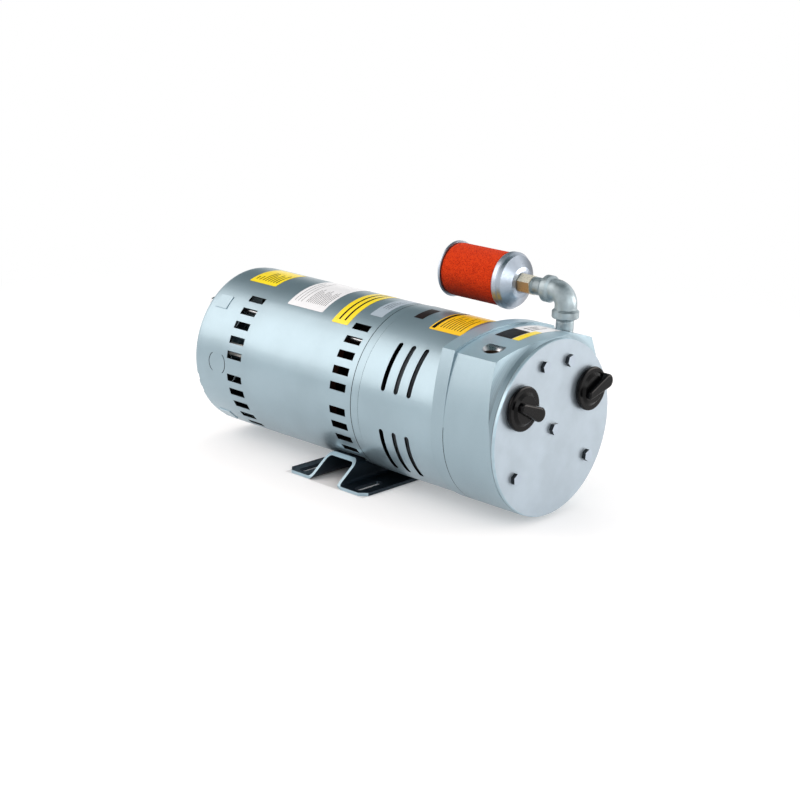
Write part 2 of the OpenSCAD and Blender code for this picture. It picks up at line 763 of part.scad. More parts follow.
// The head casting: two filter pockets, a silencing chamber, and a port above each pocket
module caps_at(side, rear, front, r) translate([side * cap_x, 0, cap_z]) drum(rear, front, r);
module head_casting() color(paint) {
    chamber_r = 74;
    boss_r = 9;
    cove_r = shoulder_r + 3 - cover_r;
    difference() {
        prism(plate_front, head_front) head_2d();
        turned(concat(
            [for (i = [0:12]) let(t = i / 12) [
                cover_r + cove_r * t,
                head_front + cove_len * sqrt(1 - pow(1 - t, 2))
            ]],
            [[cover_r + cove_r, head_front - cut], [cover_r, head_front - cut]]
        ));
        for (side = [-1, 1]) {
            caps_at(side, pocket_end, head_front - cut, pocket_r);
            at_port(side) translate([0, 0, thread_top - port_depth])
                cylinder(r = port_r, h = port_depth + cut);
            at_port(side) translate([0, 0, cap_z]) cylinder(r = pipe_bore_r - 0.4, h = thread_top - cap_z);
            at_port(side) translate([0, 0, thread_top]) cylinder(r1 = port_r, r2 = port_r + 5, h = 5);
        }
        passages(plate_front + cut, pocket_end - cut);
        prism(plate_front - 8, head_front - cut) difference() {
            intersection() {
                ring_2d(chamber_r, 20);
                rotate(180) translate([-chamber_r, 4]) square([2 * chamber_r, chamber_r]);
            }
            for (side = [-1, 1]) rotate(270 + side * lower_bolt_a) translate([bolt_circle_r + 6, 0])
                square([2 * boss_r + 8, 2 * boss_r], center = true);
            for (side = [-1, 1]) translate([side * cap_x, cap_z]) circle(pocket_r + 5);
            square([7, 2 * chamber_r], center = true);
        }
        drum(head_front + centre_bolt_len, head_front - cut, bolt_r + seat);
        cover_bolt_circle() cylinder(r = bolt_r + 0.3, h = beyond);
    }
}

module cover_holes(wide) {
    for (side = [-1, 1]) caps_at(side, plate_front, cover_front - cut, plug_r + wide);
    drum(plate_front, cover_front - cut, bolt_r + 0.3);
    cover_bolt_circle() cylinder(r = bolt_r + 0.3, h = beyond);
}
module cover_gasket() color([0.2, 0.2, 0.2]) difference() {
    drum(head_front - seat, gasket_front + seat, cover_r - 0.5);
    cover_holes(0.6);
}
module end_cover() color(paint) difference() {
    bevel = 0.6;
    turned([
        [0, gasket_front], [cover_r, gasket_front], [cover_r, cover_front + bevel],
        [cover_r - bevel, cover_front], [0, cover_front]
    ]);
    cover_holes(0.4);
}
module hex_bolt(length) {
    crown = 0.8;
    translate([0, 0, seat]) intersection() {
        linear_extrude(bolt_head_h) hex_2d(bolt_af);
        cylinder(r1 = bolt_af / 2 + bolt_head_h + 1.2, r2 = bolt_af / 2 + crown - 0.3, h = bolt_head_h);
    }
    translate([0, 0, -length]) cylinder(r = bolt_r, h = length + bolt_head_h / 2);
}
module cover_bolts() color(steel) {
    cover_bolt_circle() translate([0, 0, -cover_front]) hex_bolt(cover_bolt_end - cover_front - 1);
    along_shaft() translate([0, 0, -cover_front]) hex_bolt(centre_bolt_len);
}

// A screw cap with a finger wing. Its plug closes the pocket that holds the felt.
ring_h = 2 * ring_w;
flange_rear = cover_front - ring_h - 0.1;
module on_cap(side) translate([side * cap_x, 0, cap_z]) children();
module filter_cap(side, wing_angle) color(black) on_cap(side) {
    edge = 1.5;
    dome_h = 2;
    flange_front = flange_rear - cap_t;
    difference() {
        union() {
            turned([
                [0, flange_rear], [cap_r - 0.5, flange_rear], [cap_r, flange_rear - 1],
                [cap_r, flange_front + edge],
                [cap_r - 0.4, flange_front + 0.4], [cap_r - edge, flange_front], [cap_r - 5, flange_front],
                [cap_r - 8, flange_front - dome_h], [0, flange_front - dome_h]
            ]);
            drum(flange_rear + plug_len, flange_rear, plug_r);
        }
        drum(flange_rear + plug_len + cut, flange_rear + 1, plug_r - 3);
    }
    along_shaft() translate([0, 0, 0.5 * cap_t - flange_rear]) rotate(wing_angle) wing(0.5 * cap_t + wing_h);
}

// A tapered bar with rounded edges, and a lobe at its wide end that stands past the flange
module wing(height) {
    edge_r = 2;
    wide_end = [cap_r + lobe_reach - lobe_r, lobe_r];
    narrow_end = [-9, wing_w / 2];
    hull() for (t = [0:30:90], end = [wide_end, narrow_end]) translate([end[0], 0, 0])
        cylinder(r = end[1] - edge_r * (1 - cos(t)), h = height - edge_r * (1 - sin(t)), $fn = 32);
}
module exhaust_cap() filter_cap(-1, -24);
module intake_cap() filter_cap(1, 20);

module cap_ring(side) color([0.1, 0.1, 0.1]) on_cap(side)
    along_shaft() translate([0, 0, -cover_front + ring_w + 0.05])
        rotate_extrude() translate([plug_r + 0.3 + ring_w, 0]) circle(ring_w, $fn = 32);
module exhaust_cap_ring() cap_ring(-1);
module intake_cap_ring() cap_ring(1);

module felt(side) color([0.85, 0.83, 0.76]) on_cap(side)
    bored(pocket_end - 0.3, flange_rear + plug_len + 0.4, plug_r - 3.5, 6);
module exhaust_felt() felt(-1);
module intake_felt() felt(1);

// Pipe work above the intake port. A pipe's two threaded ends are thinner than its middle.
module pipe(length, low_thread, high_thread) difference() {
    union() {
        cylinder(r = port_r - thread_fit, h = length);
        translate([0, 0, low_thread]) cylinder(r = pipe_r, h = length - low_thread - high_thread);
    }
    translate([0, 0, -cut]) cylinder(r = pipe_bore_r, h = length + 2 * cut);
}
socket_floor = 0.5;     // left below a pipe's end in its socket
shoulder_gap = 0.1;     // between a pipe's full diameter and the mouth of its socket
module pipe_nipple() color(zinc) {
    bottom = thread_top - port_depth + socket_floor;
    top = filter_z - elbow_reach + socket_len - socket_floor;
    at_port(1) translate([0, 0, bottom])
        pipe(top - bottom, thread_top + 2.5 - bottom, socket_len - socket_floor + shoulder_gap);
}

// The elbow's path turns from straight up to straight back, around one centre
module elbow_path(r, reach) {
    bend = elbow_r + 1.4;
    rotate([0, 90, 0]) translate([bend, bend, 0]) rotate(180)
        rotate_extrude(angle = 90) translate([bend, 0]) circle(r);
    translate([0, 0, -reach]) cylinder(r = r, h = reach - bend);
    translate([0, bend, 0]) rotate([-90, 0, 0]) cylinder(r = r, h = reach - bend);
}
module elbow_band() rotate_extrude() polygon([
    [0, 0], [band_r - 0.8, 0], [band_r, 0.8], [band_r, band_len - 2], [elbow_r, band_len], [0, band_len]
]);
module pipe_elbow() color(zinc) at_port(1) translate([0, 0, filter_z]) difference() {
    union() {
        elbow_path(elbow_r, elbow_reach - 1);
        translate([0, 0, -elbow_reach]) elbow_band();
        translate([0, elbow_reach, 0]) rotate([90, 0, 0]) elbow_band();
    }
    elbow_path(pipe_bore_r, elbow_reach + cut);
    translate([0, 0, -elbow_reach - cut]) cylinder(r = port_r, h = socket_len + cut);
    translate([0, elbow_reach + cut, 0]) rotate([90, 0, 0]) cylinder(r = port_r, h = socket_len + cut);
}

neck_socket = 8;
module close_nipple() color(zinc) {
    near_thread = socket_len - socket_floor + shoulder_gap;
    far_thread = neck_socket - socket_floor + shoulder_gap;
    thick_len = nipple_gap - 2 * shoulder_gap;
    filter_line(elbow_end - socket_len + socket_floor)
        pipe(near_thread + thick_len + far_thread, near_thread, far_thread);
}

// The hexagon's spigot is rolled over the cone, and a strap across its end carries the rod
spigot_len = 5;
strap_t = 1.5;
rod_r = 2.5;
module filter_neck() color(steel) {
    spigot_r = 8;
    rolled_r = 10.5;
    strap_w = 6;
    neck_turn = 20;     // how far the hexagon came round as it was tightened
    filter_line(neck_start) difference() {
        union() {
            rotate(neck_turn) linear_extrude(neck_len) hex_2d(neck_af);
            translate([0, 0, neck_len - cut]) cylinder(r = spigot_r, h = spigot_len + cut);
            translate([0, 0, neck_len + sheet_t + 0.2]) cylinder(r = rolled_r, h = 1.5);
        }
        translate([0, 0, -cut]) cylinder(r = port_r, h = neck_socket + cut);
        difference() {
            translate([0, 0, neck_socket - cut]) cylinder(r = pipe_bore_r, h = neck_len);
            translate([-neck_af / 2, -strap_w / 2, neck_len + spigot_len - strap_t])
                cube([neck_af, strap_w, strap_t]);
        }
        translate([0, 0, neck_socket]) cylinder(r = rod_r + 0.3, h = neck_len);
    }
}

// The spun sheet cone between the neck and the foam
sheet_t = 0.8;
module filter_cone() color(steel) filter_line(cone_start) rotate_extrude() polygon([
    [8.1, 0.1], [11, 0.1], [15, 1.2], [25.2, cone_len - 3.4], [26.4, cone_len - 1.4],
    [26.9, cone_len - 0.4], [canister_r, cone_len + 0.6], [canister_r, cone_len + bead_len - 1],
    [canister_r - 0.6, cone_len + bead_len], [foam_r - 4, cone_len + bead_len],
    [foam_r - 4, cone_len + bead_len - sheet_t],
    [canister_r - 1.2, cone_len + bead_len - sheet_t], [canister_r - 1.2, cone_len + 1],
    [24.6, cone_len - 3], [14.4, 1.2 + sheet_t], [11, sheet_t + 0.1], [8.1, sheet_t + 0.1]
]);

// Perforated tube that the foam slides over
module filter_core() color(steel) filter_line(foam_start) difference() {
    rows = 4;
    columns = 10;
    row_pitch = foam_len / rows;
    tube_start = sheet_t + 1 - bead_len;
    translate([0, 0, tube_start]) cylinder(r = filter_core_r, h = foam_len - 0.1 - tube_start);
    translate([0, 0, -foam_len]) cylinder(r = filter_core_r - 1, h = 3 * foam_len);
    for (row = [0:rows - 1], a = [0:360 / columns:359])
        rotate(a) translate([filter_core_r, 0, row_pitch * (row + 0.5)])
            cube([6, 5, 0.6 * row_pitch], center = true);
}
module filter_foam() color([0.85, 0.22, 0.10]) filter_line(foam_start + 0.1) difference() {
    cylinder(r = foam_r, h = foam_len - 0.2);
    translate([0, 0, -cut]) cylinder(r = filter_core_r + 0.3, h = foam_len + 2 * cut);
}
module filter_end_cap() color(steel) filter_line(foam_end) rotate_extrude() polygon([
    [rod_r + 0.3, 0], [canister_r - 0.6, 0], [canister_r, 0.8], [canister_r, end_cap_t - 1],
    [canister_r - 1, end_cap_t], [canister_r - 2.2, end_cap_t], [canister_r - 3, end_cap_t - 1.5],
    [canister_r - 4, 1.2], [rod_r + 0.3, 1.2]
]);
module filter_rod() color(steel) {
    head_h = 3;
    rod_start = cone_start + spigot_len - strap_t - seat;
    rod_end = foam_end + 8;
    filter_line(rod_start) {
        translate([0, 0, -head_h]) cylinder(r = rod_r + 1.3, h = head_h);
        cylinder(r = rod_r, h = rod_end - rod_start);
    }
}
module filter_nut() color(steel) filter_line(foam_end + 1.2 + seat) difference() {
    linear_extrude(4) hex_2d(8);
    translate([0, 0, -cut]) cylinder(r = rod_r + seat, h = 4 + 2 * cut);
}

motor_shell();
rear_end_shield();
front_end_shield();
stator_core();
stator_windings();
lead_wires();
terminal_board();
capacitor();
switch_plate();
switch_spool();
through_bolts();
rear_bearing();
front_bearing();
foot();
shaft();
motor_rotor();
cooling_fan();
fan_shroud();
drive_plate();
pump_cylinder();
tie_bolts();
pump_rotor();
rotor_key();
vane_1();
vane_2();
vane_3();
vane_4();
port_plate();
pump_bearing();
head_casting();
cover_gasket();
end_cover();
cover_bolts();
exhaust_cap();
intake_cap();
exhaust_cap_ring();
intake_cap_ring();
exhaust_felt();
intake_felt();
pipe_nipple();
pipe_elbow();
close_nipple();
filter_neck();
filter_cone();
filter_core();
filter_foam();
filter_end_cap();
filter_rod();
filter_nut();
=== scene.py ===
"""Looks for the foot-mounted rotary vane vacuum pump, in metres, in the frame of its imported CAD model.

The shaft lies along Y, the pump head faces -Y and the inlet filter stands on the +X side. The script
dresses the CAD nodes with procedural materials, adds the labels, the foam, the threads and the joint
lines, and sets up the camera, the lights and the floor.
"""
import math

import bmesh
import bpy
from mathutils import Matrix, Vector, noise


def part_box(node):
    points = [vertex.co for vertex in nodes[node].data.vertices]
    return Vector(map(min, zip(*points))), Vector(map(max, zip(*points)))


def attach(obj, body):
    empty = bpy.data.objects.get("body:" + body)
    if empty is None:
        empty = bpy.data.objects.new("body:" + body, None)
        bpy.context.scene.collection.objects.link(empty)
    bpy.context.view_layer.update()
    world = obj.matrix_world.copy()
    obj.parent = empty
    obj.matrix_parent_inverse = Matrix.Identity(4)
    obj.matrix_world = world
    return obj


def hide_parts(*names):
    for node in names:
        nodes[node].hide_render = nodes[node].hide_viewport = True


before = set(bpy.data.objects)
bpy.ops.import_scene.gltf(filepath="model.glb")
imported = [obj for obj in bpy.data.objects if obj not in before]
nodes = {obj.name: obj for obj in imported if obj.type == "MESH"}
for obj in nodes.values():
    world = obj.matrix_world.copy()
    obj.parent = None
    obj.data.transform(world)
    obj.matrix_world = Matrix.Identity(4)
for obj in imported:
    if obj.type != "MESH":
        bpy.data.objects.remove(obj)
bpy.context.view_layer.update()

MM = 0.001
BODY = "casing"
FRONT = (0, -1, 0)
LEFT = (-1, 0, 0)
UP = (0, 0, 1)
DOWN = (0, 0, -1)


# Measures: boxes read from the CAD nodes, and the radii of its source

shroud_low, shroud_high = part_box("fan_shroud")
foot_low, foot_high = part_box("foot")
foam_low, foam_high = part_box("filter_foam")
elbow_low, elbow_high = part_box("pipe_elbow")
SHELL_FRONT_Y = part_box("motor_shell")[0].y
SHIELD_BACK_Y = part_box("rear_end_shield")[1].y
HEAD_BACK_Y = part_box("head_casting")[1].y
NECK_FRONT_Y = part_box("filter_neck")[0].y
PORT_NIPPLE_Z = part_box("pipe_nipple")[0].z
RIM_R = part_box("front_end_shield")[1].x
SHAFT_Z = (shroud_low.z + shroud_high.z) / 2
SHROUD_R = (shroud_high.x - shroud_low.x) / 2
SHELL_R = 82.5 * MM
HEAD_R = 84.5 * MM
TOP_ARC_R = 202.25 * MM
THREAD_PITCH = 1.41 * MM


# Node helpers

def srgb(red, green, blue):
    """A linear colour with alpha, from 8-bit sRGB values."""
    def linear(value):
        value /= 255
        return value / 12.92 if value <= 0.04045 else ((value + 0.055) / 1.055) ** 2.4
    return (linear(red), linear(green), linear(blue), 1.0)


def shade(colour, factor):
    """The colour, that many times as light."""
    return tuple(min(1.0, c * factor) for c in colour[:3]) + (1.0,)


class Nodes:
    """Short calls for building one node tree."""

    def __init__(self, tree):
        self.tree = tree

    def add(self, kind, inputs=(), **properties):
        """A new node. inputs is a dictionary of socket values, and the rest are its properties."""
        node = self.tree.nodes.new(kind)
        for key, value in properties.items():
            setattr(node, key, value)
        for socket, value in dict(inputs).items():
            node.inputs[socket].default_value = value
        return node

    def link(self, output, socket):
        self.tree.links.new(output, socket)

    def remap(self, value, low, high, from_low=0.3, from_high=0.7, **properties):
        ends = {"From Min": from_low, "From Max": from_high, "To Min": low, "To Max": high}
        node = self.add("ShaderNodeMapRange", ends, **properties)
        self.link(value, node.inputs["Value"])
        return node.outputs["Result"]

    def combined(self, operation, outputs):
        """Several values taken together by one math operation, such as MAXIMUM or MULTIPLY."""
        result = outputs[0]
        for output in outputs[1:]:
            node = self.add("ShaderNodeMath", operation=operation)
            self.link(result, node.inputs[0])
            self.link(output, node.inputs[1])
            result = node.outputs[0]
        return result

    def vector_math(self, operation, vector, second=None):
        node = self.add("ShaderNodeVectorMath", operation=operation)
        self.link(vector, node.inputs[0])
        if second:
            node.inputs[1].default_value = second
        return node.outputs["Vector" if operation == "ABSOLUTE" else "Value"]

    def axes(self, vector):
        node = self.add("ShaderNodeSeparateXYZ")
        self.link(vector, node.inputs["Vector"])
        return node.outputs

    def mixed(self, factor, low, high):
        """A colour that goes from low to high with a factor. Each is a colour or an output."""
        node = self.add("ShaderNodeMix", data_type="RGBA")
        self.link(factor, node.inputs["Factor"])
        for socket, colour in (("A", low), ("B", high)):
            if isinstance(colour, tuple):
                node.inputs[socket].default_value = colour
            else:
                self.link(colour, node.inputs[socket])
        return node.outputs["Result"]

    def mixed_shader(self, factor, first, second):
        node = self.add("ShaderNodeMixShader")
        self.link(factor, node.inputs["Fac"])
        self.link(first, node.inputs[1])
        self.link(second, node.inputs[2])
        return node.outputs[0]


class Material(Nodes):
    """A Principled material with short calls for the nodes used here."""

    def __init__(self, name, **values):
        self.material = bpy.data.materials.new(name)
        self.material.use_nodes = True
        super().__init__(self.material.node_tree)
        self.surface = self.tree.nodes["Principled BSDF"]
        self.coordinates = self.add("ShaderNodeTexCoord").outputs["Object"]
        for socket, value in values.items():
            self.surface.inputs[socket.replace("_", " ")].default_value = value

    def stretched(self, scale):
        mapping = self.add("ShaderNodeMapping", {"Scale": scale})
        self.link(self.coordinates, mapping.inputs["Vector"])
        return mapping.outputs["Vector"]

    def noise(self, scale, detail=3.0, roughness=0.5, stretch=(1, 1, 1)):
        values = {"Scale": scale, "Detail": detail, "Roughness": roughness}
        node = self.add("ShaderNodeTexNoise", values)
        self.link(self.stretched(stretch), node.inputs["Vector"])
        return node.outputs["Fac"]

    def cells(self, scale):
        node = self.add("ShaderNodeTexVoronoi", {"Scale": scale}, feature="F1")
        self.link(self.stretched((1, 1, 1)), node.inputs["Vector"])
        return node.outputs["Distance"]

    def ramp(self, value, stops):
        node = self.add("ShaderNodeValToRGB")
        elements = node.color_ramp.elements
        while len(elements) < len(stops):
            elements.new(0.5)
        for element, (position, colour) in zip(elements, stops):
            element.position = position
            element.color = colour
        self.link(value, node.inputs["Fac"])
        return node.outputs["Color"]

    def facing(self, way, start, full, low=0, high=1):
        """From low to high as the surface turns towards a direction, by its object-space normal."""
        normal = self.add("ShaderNodeTexCoord").outputs["Normal"]
        return self.remap(self.vector_math("DOT_PRODUCT", normal, way), low, high, start, full)

    def light_toned(self, colour, way, start, full, factor):
        """The colour with painted light and shade, scaled by a factor where the surface turns towards a
        direction.
        """
        node = self.add("ShaderNodeVectorMath", operation="SCALE")
        self.link(colour, node.inputs["Vector"])
        self.link(self.facing(way, start, full, 1, factor), node.inputs["Scale"])
        return node.outputs["Vector"]

    def colour(self, output):
        self.link(output, self.surface.inputs["Base Color"])

    def rough(self, value, low, high):
        self.link(self.remap(value, low, high), self.surface.inputs["Roughness"])

    def bump(self, height, distance, strength=1.0):
        node = self.add("ShaderNodeBump", {"Strength": strength, "Distance": distance})
        self.link(height, node.inputs["Height"])
        self.link(node.outputs["Normal"], self.surface.inputs["Normal"])


# Materials

PAINT = srgb(151, 172, 182)
# Painted light and shade: a lighter copy of the paint on the cover's front, a darker one on the foot, and
# the unpainted inside darkened further.
COVER_FRONT_LIT = srgb(173, 186, 196)
FOOT_SHADED = srgb(38, 50, 60)
BARE_SHADED_INSIDE = srgb(24, 25, 27)
# The ways that the head's painted shade, the filter cone's painted shade and the neck's painted warm
# reflection face.
HEAD_SHADED_WAY = (-0.66, -0.72, 0.2)
CONE_FAR_WAY = (0.675, -0.737, 0)
NECK_LOWER_WAY = (-0.3, 0, -0.95)
# Past this distance to either side, the foot's outer faces carry a painted highlight.
FOOT_SLOTS_END_X = 46 * MM


def paint(name, roughness, peel, peel_depth, streak=(1, 1, 1), bare_shaded_below=None, light_tones=()):
    """Silver blue-grey metallic enamel: faint clouding, fine flake, and the texture of what is under it.

    Closer to the shaft line than bare_shaded_below, in metres, the steel is unpainted and darkened as
    painted shade. Each light tone is painted light and shade: a way, where it starts and is full, and how
    many times as light the paint is on surfaces that face it.
    """
    made = Material(name, Metallic=0.7, Coat_Weight=0.15, Coat_Roughness=0.15)
    clouds = made.noise(14, 4, 0.55, streak)
    colour = made.ramp(clouds, [(0.3, shade(PAINT, 0.92)), (0.5, PAINT), (0.72, shade(PAINT, 1.07))])
    # Unpainted steel inside, darkened further as painted shade.
    if bare_shaded_below:
        from_shaft = made.vector_math("DISTANCE", made.stretched((1, 0, 1)), (0, 0, SHAFT_Z))
        outside = made.remap(from_shaft, 0, 1, bare_shaded_below - 0.1 * MM, bare_shaded_below)
        colour = made.mixed(outside, BARE_SHADED_INSIDE, colour)
    # Painted light and shade by the way the surface faces.
    for light_tone in light_tones:
        colour = made.light_toned(colour, *light_tone)
    made.colour(colour)
    made.rough(made.noise(900, 2), roughness - 0.05, roughness + 0.07)
    made.bump(made.noise(peel, 3, 0.6, streak), peel_depth)
    return made.material


def paint_with_painted_light(name, towards, elsewhere, way, start, full, beyond_x=None):
    """Paint of one colour on the faces that look one way, and of another elsewhere, as painted light and
    shade.

    With beyond_x, in metres, only the faces farther out to either side take the first colour.
    """
    made = Material(name, Metallic=0.7, Roughness=0.34)
    clouds = made.noise(40, 4, 0.55)
    lit = made.ramp(clouds, [(0.3, shade(towards, 0.93)), (0.7, shade(towards, 1.06))])
    dim = made.ramp(clouds, [(0.3, shade(elsewhere, 0.8)), (0.7, shade(elsewhere, 1.2))])
    shown = made.mixed(made.facing(way, start, full), dim, lit)
    if beyond_x:
        from_middle = made.vector_math("LENGTH", made.stretched((1, 0, 0)))
        shown = made.mixed(made.remap(from_middle, 0, 1, beyond_x - 0.2 * MM, beyond_x), dim, shown)
    made.colour(shown)
    made.bump(made.noise(380, 3, 0.6), 0.00003)
    return made.material


def metal(name, colour, roughness, grain=500, grain_depth=0.00002, stretch=(1, 1, 1), spread=0.2,
          painted_tone=None, metallic=1.0):
    """Bare metal. painted_tone paints shade and reflection: a colour, a way, and where it starts and is
    full on faces that look there.
    """
    made = Material(name, Metallic=metallic)
    mottle = made.noise(60, 5, 0.6, stretch)
    shown = made.ramp(mottle, [(0.3, shade(colour, 1 - spread)), (0.5, colour),
                               (0.7, shade(colour, 1 + spread))])
    # Painted shade and reflection on the faces that look one way.
    if painted_tone:
        tone_colour, way, start, full = painted_tone
        shown = made.mixed(made.facing(way, start, full), shown, tone_colour)
    made.colour(shown)
    made.rough(made.noise(grain, 3, 0.6, stretch), roughness - 0.07, roughness + 0.1)
    made.bump(made.noise(grain, 3, 0.6, stretch), grain_depth)
    return made.material


def plain(name, colour, roughness, grain, grain_depth, spread=0.12, **values):
    """Plastic, rubber, fibre or a printed film: slightly mottled, with a grain."""
    made = Material(name, **values)
    mottle = made.noise(grain * 0.15, 4, 0.6)
    made.colour(made.ramp(mottle, [(0.3, shade(colour, 1 - spread)), (0.7, shade(colour, 1 + spread))]))
    made.rough(made.noise(grain * 0.6, 3), roughness - 0.05, roughness + 0.05)
    made.bump(made.noise(grain, 3), grain_depth)
    return made.material


# Inside the drum the paint gives way to unpainted steel, darkened further as painted shade.
shell_paint = paint("shell_paint", 0.33, 420, 0.00002, bare_shaded_below=82.4 * MM)
shroud_paint = paint("shroud_paint", 0.33, 420, 0.00002, bare_shaded_below=83.2 * MM)
shield_paint = paint("shield_paint", 0.36, 420, 0.00003)
rim_paint = paint("rim_paint", 0.36, 420, 0.00003, bare_shaded_below=82.3 * MM)
# The head's paint is darkened as painted shade on the side by the cover's hollow, and lightened as painted
# light on its top.
cast_paint = paint("cast_paint", 0.4, 260, 0.00011, streak=(1, 1, 0.35),
                   light_tones=[(HEAD_SHADED_WAY, 0.86, 0.98, 0.42), (UP, 0.85, 0.96, 1.5)])
# The cover's front is a lighter copy of the paint as painted light, and its rim a painted highlight.
cover_paint = paint_with_painted_light("cover_paint", COVER_FRONT_LIT, shade(PAINT, 1.25), FRONT, 0.8, 0.97)
# The foot is darkened as painted shade and reflection, with a painted highlight on its outer ends.
foot_paint = paint_with_painted_light("foot_paint", shade(PAINT, 1.25), FOOT_SHADED, LEFT, 0.35, 0.6,
                          beyond_x=FOOT_SLOTS_END_X)
# The bolt heads have a lit front and side facets darkened as painted shade.
bolt_paint = paint_with_painted_light("bolt_paint", srgb(172, 184, 196), srgb(40, 44, 48), FRONT, 0.5, 0.8)
zinc_steel = metal("zinc_steel", srgb(196, 199, 202), 0.3)
bare_steel = metal("bare_steel", srgb(150, 152, 156), 0.35)
# Brown painted warm reflection on the neck's lower faces.
neck_steel = metal("neck_steel", srgb(226, 222, 204), 0.3, metallic=0.35,
                   painted_tone=(srgb(146, 104, 42), NECK_LOWER_WAY, 0.2, 0.5))
galvanised = metal("galvanised", srgb(160, 173, 178), 0.44, 240, 0.0004, spread=0.3, metallic=0.85)
# Darker on the filter cone's far side, as painted shade.
spun_tin = metal("spun_tin", srgb(172, 182, 194), 0.34, 900, 0.000008, spread=0.08,
                 painted_tone=(srgb(74, 84, 96), CONE_FAR_WAY, 0.6, 0.96))
# Dark brown inside the port's hole, darkened as painted shade.
port_dark = metal("port_dark", srgb(66, 52, 44), 0.5, 500, 0.00004)
cast_iron = metal("cast_iron", srgb(150, 154, 158), 0.5, 260, 0.0001)
# The laminations' and windings' own dark colours, darkened further as painted shade inside the motor.
laminations = metal("laminations", srgb(58, 58, 62), 0.5, 900, 0.00005, stretch=(0.05, 1, 0.05))
copper = metal("copper", srgb(44, 24, 18), 0.4, 700, 0.0003)
pale_casting = plain("pale_casting", srgb(136, 142, 148), 0.5, 300, 0.00006)
black_plastic = plain("black_plastic", srgb(3, 3, 4), 0.24, 260, 0.00008,
                      Specular_IOR_Level=0.12, Coat_Weight=0.03, Coat_Roughness=0.08)
black_rubber = plain("black_rubber", srgb(28, 28, 28), 0.6, 500, 0.00005)
# Lightened as painted light, so that the gap at the cover doesn't show dark.
gasket_fibre = plain("gasket_fibre", srgb(196, 202, 206), 0.7, 600, 0.0001)
felt_wool = plain("felt_wool", srgb(222, 218, 200), 0.95, 900, 0.0003, Sheen_Weight=0.4)
carbon = plain("carbon", srgb(40, 40, 42), 0.45, 700, 0.00003)
phenolic = plain("phenolic", srgb(110, 74, 48), 0.5, 400, 0.00005)
lead_sleeve = plain("lead_sleeve", srgb(236, 236, 230), 0.4, 500, 0.00003)
can_case = plain("can_case", srgb(30, 30, 33), 0.35, 300, 0.00005)

DRESS = {
    shell_paint: ["motor_shell"],
    shroud_paint: ["fan_shroud"],
    shield_paint: ["rear_end_shield"],
    rim_paint: ["front_end_shield"],
    cast_paint: ["head_casting", "port_plate"],
    cover_paint: ["end_cover"],
    foot_paint: ["foot"],
    bolt_paint: ["cover_bolts"],
    zinc_steel: ["through_bolts", "tie_bolts", "filter_rod", "filter_nut"],
    neck_steel: ["filter_neck"],
    bare_steel: ["shaft", "rotor_key", "rear_bearing", "front_bearing", "pump_bearing", "filter_core"],
    laminations: ["stator_core", "motor_rotor"],
    copper: ["stator_windings"],
    lead_sleeve: ["lead_wires"],
    phenolic: ["terminal_board", "switch_plate", "switch_spool"],
    can_case: ["capacitor"],
    cast_iron: ["drive_plate", "pump_rotor", "cooling_fan"],
    pale_casting: ["pump_cylinder"],
    carbon: ["vane_1", "vane_2", "vane_3", "vane_4"],
    gasket_fibre: ["cover_gasket"],
    black_plastic: ["exhaust_cap", "intake_cap"],
    black_rubber: ["exhaust_cap_ring", "intake_cap_ring"],
    felt_wool: ["exhaust_felt", "intake_felt"],
    galvanised: ["pipe_nipple", "pipe_elbow", "close_nipple"],
    spun_tin: ["filter_cone", "filter_end_cap"],
}
for material, names in DRESS.items():
    for name in names:
        for slot in nodes[name].material_slots:
            slot.material = material


# Mesh helpers

def add_piece(name, mesh, material):
    """A smooth-shaded piece of the casing, from a bmesh."""
    data = bpy.data.meshes.new(name)
    mesh.to_mesh(data)
    mesh.free()
    for polygon in data.polygons:
        polygon.use_smooth = True
    data.materials.append(material)
    piece = bpy.data.objects.new(name, data)
    bpy.context.scene.collection.objects.link(piece)
    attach(piece, BODY)
    return piece


def ring_strip(mesh, rings, closed=False):
    """Faces between rings of equally many vertices. closed also joins the last ring to the first."""
    following = rings[1:] + rings[:1] if closed else rings[1:]
    for a, b in zip(rings, following):
        for i in range(len(a)):
            k = (i + 1) % len(a)
            mesh.faces.new((a[i], a[k], b[k], b[i]))


def drum_surface(radius):
    """Maps (angle above the -X side in degrees, Y, lift) to a point on a drum around the shaft."""
    def at(angle, y, lift):
        a = math.radians(angle)
        r = radius + lift
        return Vector((-r * math.cos(a), y, SHAFT_Z + r * math.sin(a)))
    return at


def head_surface(x, y, lift):
    """Maps (X, Y, lift) to a point on the head's arched top."""
    z = HEAD_R - TOP_ARC_R + math.sqrt(TOP_ARC_R ** 2 - x ** 2)
    out = Vector((x, 0, z - HEAD_R + TOP_ARC_R)).normalized()
    return Vector((x, y, SHAFT_Z + z)) + out * lift


